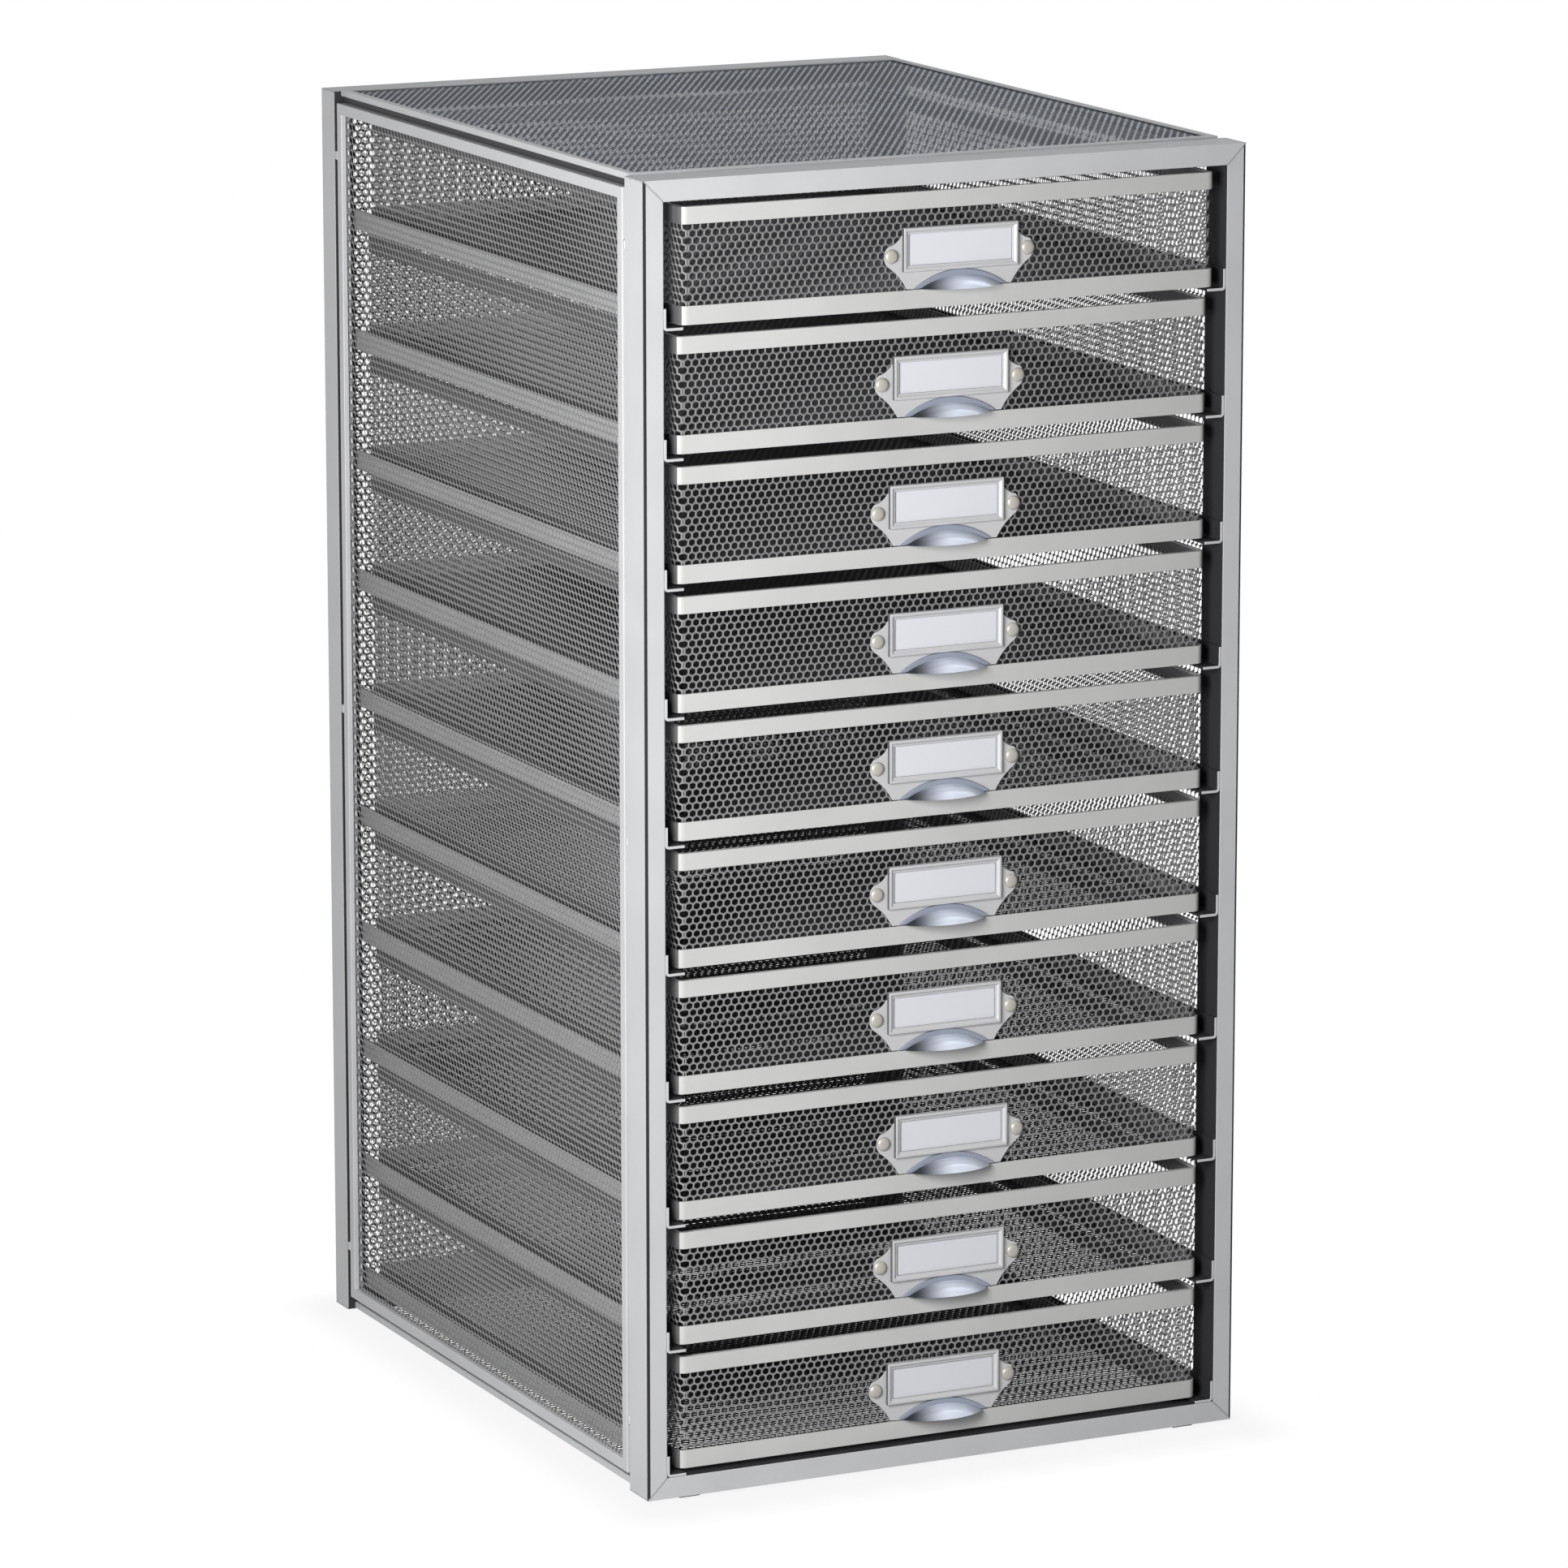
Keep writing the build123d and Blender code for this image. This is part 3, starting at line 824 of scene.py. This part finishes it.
for drawer in drawerNames:
    low, _, middle, _ = boxOf(drawer + "_basket")
    bm = bmesh.new()
    bm.from_mesh(basketShape)
    movedBy(bm, (middle.x, low.y, low.z))
    piece = addPiece(
        drawer + "_strands", bm, meshSteel, drawer, hides=(drawer + "_basket",),
    )
    piece.data.materials.append(meshShade)
    # painted shade: the floor's level strands take a near-black material
    floorTop = low.z + basketLook["floorReach"]
    darkenFaces(piece, floorSteel, lambda spot, normal: spot.z < floorTop and abs(normal.z) > 0.5)
    addBands(drawer)
    addHems(drawer)


pullLook = {
    "sheet": 0.8 * mm,
    "frameHalfWidth": 27.2 * mm,
    "frameLow": 7.6 * mm,
    "frameTop": 26.3 * mm,
    "frameRise": 2.0 * mm,
    "frameRound": 0.5 * mm,
    "borderWidth": 1.7 * mm,
    "earRoot": 23.1 * mm,      # heights above the lip of the hood
    "earTip": 18.5 * mm,
    "earFoot": 9.9 * mm,
    "earTipReach": 33.6 * mm,  # sideways from the middle
    "earBulge": 1.9 * mm,
    "earScallop": 0.9 * mm,
    "apronReach": 24.8 * mm,
    "apronScallop": 0.8 * mm,
    "edge": 0.25 * mm,
}

hoodLook = {
    "halfWidth": 22.0 * mm,
    "rise": 7.6 * mm,
    "beadWidth": 2.3 * mm,
    "beadRise": 1.1 * mm,
    "beadRound": 0.7 * mm,
    "reach": 9.7 * mm,
    "sheet": 0.8 * mm,
}

rivetLook = {
    "reach": 32.4 * mm,
    "height": 14.5 * mm,
    "radius": 3.1 * mm,
    "rise": 2.5 * mm,
    "profile": (               # share of the radius, and height above the plate's back
        (0.35, 2.4604 * mm),
        (0.62, 2.302 * mm),
        (0.82, 2.0446 * mm),
        (0.96, 1.5688 * mm),
        (1.0, 1.2972 * mm),
        (1.0, 0.56 * mm),
    ),
}


def mirroredAcross(bm):
    everything = bm.verts[:] + bm.edges[:] + bm.faces[:]
    bmesh.ops.mirror(bm, geom=everything, matrix=Matrix.Identity(4), merge_dist=0.00001, axis="X")
    bmesh.ops.remove_doubles(bm, verts=bm.verts, dist=0.00001)


def raised(bm, height):
    # pulls the one flat face up into a plate
    made = bmesh.ops.extrude_face_region(bm, geom=bm.faces[:])["geom"]
    verts = [part for part in made if isinstance(part, bmesh.types.BMVert)]
    bmesh.ops.translate(bm, verts=verts, vec=(0, 0, height))
    bmesh.ops.recalc_face_normals(bm, faces=bm.faces[:])


def pullPlate():
    look = pullLook
    bm = bmesh.new()
    vert = bm.verts.new((0, look["frameTop"] - look["sheet"], 0))
    vert = lineTo(bm, vert, (look["frameHalfWidth"], look["frameTop"] - look["sheet"]))
    vert = lineTo(bm, vert, (look["frameHalfWidth"], look["earRoot"]))
    vert = arcTo(bm, vert, (look["earTipReach"], look["earTip"]), look["earScallop"], 7)
    vert = arcTo(bm, vert, (look["earTipReach"], look["earFoot"]), -look["earBulge"], 10)
    vert = arcTo(bm, vert, (look["apronReach"], 0), look["apronScallop"], 9)
    lineTo(bm, vert, (0, 0))
    mirroredAcross(bm)
    bmesh.ops.contextual_create(bm, geom=bm.edges[:])
    raised(bm, look["sheet"])
    bevelSharpEdges(bm, look["edge"], 2, 20)
    return bm


def cardBorder():
    # raised border: a rounded outer edge, a flat, a slope down to the card and a thin lip
    look = pullLook
    width = 2 * look["frameHalfWidth"]
    height = look["frameTop"] - look["frameLow"]
    bm = bmesh.new()
    bmesh.ops.create_grid(bm, x_segments=1, y_segments=1, size=0.5)
    bmesh.ops.scale(bm, vec=(width, height, 1.0), verts=bm.verts)
    movedBy(bm, (0, look["frameLow"] + height / 2, look["sheet"] / 2))
    made = bmesh.ops.extrude_face_region(bm, geom=bm.faces[:])["geom"]
    verts = [part for part in made if isinstance(part, bmesh.types.BMVert)]
    bmesh.ops.translate(bm, verts=verts, vec=(0, 0, look["sheet"] / 2 + look["frameRise"]))
    bmesh.ops.recalc_face_normals(bm, faces=bm.faces[:])
    front = max(bm.faces, key=lambda face: face.calc_center_median().z)
    rim = list(front.edges)
    bmesh.ops.bevel(
        bm, geom=rim, offset=look["frameRound"], offset_type="OFFSET", segments=3,
        profile=0.5, affect="EDGES", clamp_overlap=True, material=-1,
    )
    front = max(bm.faces, key=lambda face: (round(face.calc_center_median().z, 6), face.calc_area()))
    for inset, drop in ((0.6, 0.0), (0.9, -0.85), (0.5, 0.0), (0.12, -0.12), (0.02, -0.75)):
        bmesh.ops.inset_region(
            bm, faces=[front], thickness=inset * mm, depth=drop * mm, use_even_offset=True,
        )
    bmesh.ops.delete(bm, geom=[front], context="FACES")
    return bm


def archEdge(bm, halfWidth, rise, steps):
    vert = bm.verts.new((-halfWidth, 0, 0))
    arcTo(bm, vert, (halfWidth, 0), -rise, steps)


def hoodBead():
    # the pressed arch round the hood
    look = hoodLook
    bm = bmesh.new()
    archEdge(bm, look["halfWidth"], look["rise"], 28)
    bmesh.ops.contextual_create(bm, geom=bm.verts[:])
    movedBy(bm, (0, 0, pullLook["sheet"] * 0.6))
    bmesh.ops.recalc_face_normals(bm, faces=bm.faces[:])
    if bm.faces[0].normal.z < 0:
        bmesh.ops.reverse_faces(bm, faces=bm.faces[:])
    made = bmesh.ops.extrude_face_region(bm, geom=bm.faces[:])["geom"]
    verts = [part for part in made if isinstance(part, bmesh.types.BMVert)]
    bmesh.ops.translate(bm, verts=verts, vec=(0, 0, pullLook["sheet"] * 0.4 + look["beadRise"]))
    front = max(bm.faces, key=lambda face: face.calc_center_median().z)
    bmesh.ops.bevel(
        bm, geom=list(front.edges), offset=look["beadRound"], offset_type="OFFSET", segments=3,
        profile=0.5, affect="EDGES", clamp_overlap=True, material=-1,
    )
    return bm


def setPaintedReflection(piece, middleX):
    # painted reflection: dark at the left of the hood, light in the middle and a little less so at the
    # right
    tone = piece.data.attributes.new("tone", "FLOAT", "POINT")
    for vert in piece.data.vertices:
        across = (vert.co.x - middleX) / hoodLook["halfWidth"]
        rising = min(max((across + 0.75) / 0.75, 0.0), 1.0)
        falling = min(max((across - 0.45) / 0.55, 0.0), 1.0)
        tone.data[vert.index].value = rising * rising * (3 - 2 * rising) * (1 - 0.55 * falling)


def hoodDome():
    # an arch spun round a level axis below the lip, cut off at the lip
    look = hoodLook
    halfWidth = look["halfWidth"] - look["beadWidth"]
    rise = look["rise"] - look["beadWidth"]
    drop = (look["reach"] ** 2 - rise ** 2) / (2 * rise)
    bm = bmesh.new()
    archEdge(bm, halfWidth, rise, 26)
    bmesh.ops.spin(
        bm, geom=bm.verts[:] + bm.edges[:], cent=(0, -drop, 0), axis=(1, 0, 0),
        angle=radians(90), steps=14,
    )
    bmesh.ops.remove_doubles(bm, verts=bm.verts, dist=0.00001)
    bmesh.ops.recalc_face_normals(bm, faces=bm.faces[:])
    outward = sum(face.normal.z * face.calc_area() for face in bm.faces)
    if outward < 0:
        bmesh.ops.reverse_faces(bm, faces=bm.faces[:])
    bmesh.ops.solidify(bm, geom=bm.faces[:], thickness=look["sheet"])
    trim(bm, (0, 0, 0), (0, -1, 0))
    closeHoles(bm)
    return bm


def rivetHead(side):
    # a head turned from its profile
    look = rivetLook
    bm = bmesh.new()
    vert = bm.verts.new((0, 0, look["rise"]))
    for reach, height in look["profile"]:
        vert = bmesh.ops.extrude_vert_indiv(bm, verts=[vert])["verts"][0]
        vert.co = (look["radius"] * reach, 0, height)
    bmesh.ops.spin(
        bm, geom=bm.verts[:] + bm.edges[:], cent=(0, 0, 0), axis=(0, 0, 1),
        angle=2 * pi, steps=24, use_merge=True,
    )
    bmesh.ops.remove_doubles(bm, verts=bm.verts, dist=0.00001)
    bmesh.ops.recalc_face_normals(bm, faces=bm.faces[:])
    closeHoles(bm)
    movedBy(bm, (side * look["reach"], look["height"], 0))
    return bm


def isShaded(spot, normal):
    # the card pocket's walls and the card frame's left side, which catch no light
    look = pullLook
    border = look["borderWidth"]
    isInside = abs(spot.x) < look["frameHalfWidth"] - border
    isInside = isInside and look["frameLow"] + border < spot.z < look["frameTop"] - border
    isAtLeft = abs(spot.x + look["frameHalfWidth"]) < 0.1 * mm
    return isInside and abs(normal.y) < 0.2 or isAtLeft and normal.x < -0.8


print("pulls")
for drawer in drawerNames:
    low, high, middle, _ = boxOf(drawer + "_pull")
    lip = Vector((middle.x, high.y, low.z))  # the middle of the hood's lip, on the drawer's front
    for label, bm, material, hides in (
        ("_plate", joined([pullPlate(), cardBorder()]), pullSteel, (drawer + "_pull",)),
        ("_bead", hoodBead(), beadSteel, ()),
        ("_hood", hoodDome(), hoodSteel, ()),
        ("_rivets", joined([rivetHead(-1), rivetHead(1)]), rivetSteel, ()),
    ):
        turned(bm, facing["front"])
        movedBy(bm, lip)
        piece = addPiece(drawer + label, bm, material, drawer, hides=hides)
        smoothShade(piece)
        if label == "_hood":
            setPaintedReflection(piece, middle.x)
        if label == "_plate":
            darkenFaces(piece, shadedSteel, lambda spot, normal: isShaded(spot - lip, normal))
    card = nodeList[drawer + "_card"]
    card.data.materials.clear()
    card.data.materials.append(cardPaper)


roomLook = {
    "floorSize": 12.0,
    "floorColour": (0.35, 0.35, 0.35),
    "worldStrength": 0.03,
    "keyPower": 15.0,
    "keyPlace": (-0.80, -0.84, 0.60),
    "keySize": (0.40, 0.50),
    "topPower": 4.5,
    "topPlace": (0.85, 0.10, 1.40),
    "topSize": (0.8, 0.8),
    "topColour": (0.88, 0.94, 1.0),
    "aim": (0, 0, 0.3),       # both lights look at the middle of the cabinet
    "floorWhite": 0.90,       # how white the floor is beside the object, where its shadow falls
    "fadeWidth": 0.03,
}


def seenDirectly(nodes, links):
    # 1 for the camera's rays, mirror rays and rays through glass
    paths = nodes.new("ShaderNodeLightPath")
    either = nodes.new("ShaderNodeMath")
    either.operation = "MAXIMUM"
    links.new(paths.outputs["Is Camera Ray"], either.inputs[0])
    links.new(paths.outputs["Is Glossy Ray"], either.inputs[1])
    anyOf = nodes.new("ShaderNodeMath")
    anyOf.operation = "MAXIMUM"
    links.new(either.outputs[0], anyOf.inputs[0])
    links.new(paths.outputs["Is Transmission Ray"], anyOf.inputs[1])
    return anyOf.outputs[0]


def floorMaterial():
    # pale by the object, where its shadow falls, and plain white further out
    material = bpy.data.materials.new("paleFloor")
    material.use_nodes = True
    nodes = material.node_tree.nodes
    links = material.node_tree.links
    pale = nodes["Principled BSDF"]
    pale.inputs["Base Color"].default_value = (*roomLook["floorColour"], 1.0)
    pale.inputs["Roughness"].default_value = 0.8
    white = nodes.new("ShaderNodeEmission")
    white.inputs["Strength"].default_value = 1.0
    # how far a spot lies outside the cabinet's footprint
    low, high = cadBox
    place = nodes.new("ShaderNodeTexCoord")
    size = nodes.new("ShaderNodeVectorMath")
    size.operation = "ABSOLUTE"
    links.new(place.outputs["Object"], size.inputs[0])
    outside = nodes.new("ShaderNodeVectorMath")
    outside.operation = "SUBTRACT"
    outside.inputs[1].default_value = ((high[0] - low[0]) / 2, (high[1] - low[1]) / 2, 0)
    links.new(size.outputs["Vector"], outside.inputs[0])
    beyond = nodes.new("ShaderNodeVectorMath")
    beyond.operation = "MAXIMUM"
    links.new(outside.outputs["Vector"], beyond.inputs[0])
    distance = nodes.new("ShaderNodeVectorMath")
    distance.operation = "LENGTH"
    links.new(beyond.outputs["Vector"], distance.inputs[0])
    fade = nodes.new("ShaderNodeMapRange")
    fade.interpolation_type = "SMOOTHSTEP"
    fade.inputs["From Max"].default_value = roomLook["fadeWidth"]
    fade.inputs["To Min"].default_value = roomLook["floorWhite"]
    links.new(distance.outputs["Value"], fade.inputs["Value"])
    share = nodes.new("ShaderNodeMath")
    share.operation = "MULTIPLY"
    links.new(fade.outputs["Result"], share.inputs[0])
    links.new(seenDirectly(nodes, links), share.inputs[1])
    mix = nodes.new("ShaderNodeMixShader")
    links.new(share.outputs[0], mix.inputs["Fac"])
    links.new(pale.outputs["BSDF"], mix.inputs[1])
    links.new(white.outputs["Emission"], mix.inputs[2])
    links.new(mix.outputs["Shader"], nodes["Material Output"].inputs["Surface"])
    return material


def buildFloor():
    bm = bmesh.new()
    bmesh.ops.create_grid(bm, x_segments=1, y_segments=1, size=roomLook["floorSize"] / 2)
    mesh = bpy.data.meshes.new("floor")
    bm.to_mesh(mesh)
    bm.free()
    floor = bpy.data.objects.new("floor", mesh)
    bpy.context.scene.collection.objects.link(floor)
    mesh.materials.append(floorMaterial())


def addSoftbox(name, place, size, power):
    light = bpy.data.lights.new(name, "AREA")
    light.shape = "RECTANGLE"
    light.size = size[0]
    light.size_y = size[1]
    light.energy = power
    lamp = bpy.data.objects.new(name, light)
    bpy.context.scene.collection.objects.link(lamp)
    lamp.location = place
    towards = Vector(roomLook["aim"]) - Vector(place)
    lamp.rotation_euler = towards.to_track_quat("-Z", "Y").to_euler()
    return lamp


def buildRoom():
    buildFloor()
    world = bpy.data.worlds.new("paleRoom")
    bpy.context.scene.world = world
    world.use_nodes = True
    nodes = world.node_tree.nodes
    links = world.node_tree.links
    background = nodes["Background"]
    background.inputs["Color"].default_value = (1.0, 1.0, 1.0, 1.0)
    strength = nodes.new("ShaderNodeMix")
    strength.inputs["A"].default_value = roomLook["worldStrength"]
    strength.inputs["B"].default_value = 1.0
    links.new(seenDirectly(nodes, links), strength.inputs["Factor"])
    links.new(strength.outputs["Result"], background.inputs["Strength"])
    addSoftbox("keyLight", roomLook["keyPlace"], roomLook["keySize"], roomLook["keyPower"])
    topLight = addSoftbox("topLight", roomLook["topPlace"], roomLook["topSize"], roomLook["topPower"])
    topLight.data.color = roomLook["topColour"]


cameraLook = {
    "place": (-1.5111, -3.1491, 1.0200),
    "azimuth": -25.686,
    "elevation": 12.087,
    "lens": 182.29,
    "sensor": 36.0,
}                             # angles in degrees


def buildCamera():
    camera = bpy.data.cameras.new("camera")
    camera.lens = cameraLook["lens"]
    camera.sensor_width = cameraLook["sensor"]
    camera.sensor_height = cameraLook["sensor"]
    camera.sensor_fit = "AUTO"
    camera.clip_start = 0.05
    holder = bpy.data.objects.new("camera", camera)
    bpy.context.scene.collection.objects.link(holder)
    holder.location = cameraLook["place"]
    turn = radians(cameraLook["azimuth"])
    rise = radians(cameraLook["elevation"])
    away = Vector((sin(turn) * cos(rise), -cos(turn) * cos(rise), sin(rise)))
    holder.rotation_euler = away.to_track_quat("Z", "Y").to_euler()
    bpy.context.scene.camera = holder


print("room")
buildRoom()
buildCamera()
bpy.context.scene.view_settings.view_transform = "Standard"

bpy.context.view_layer.update()
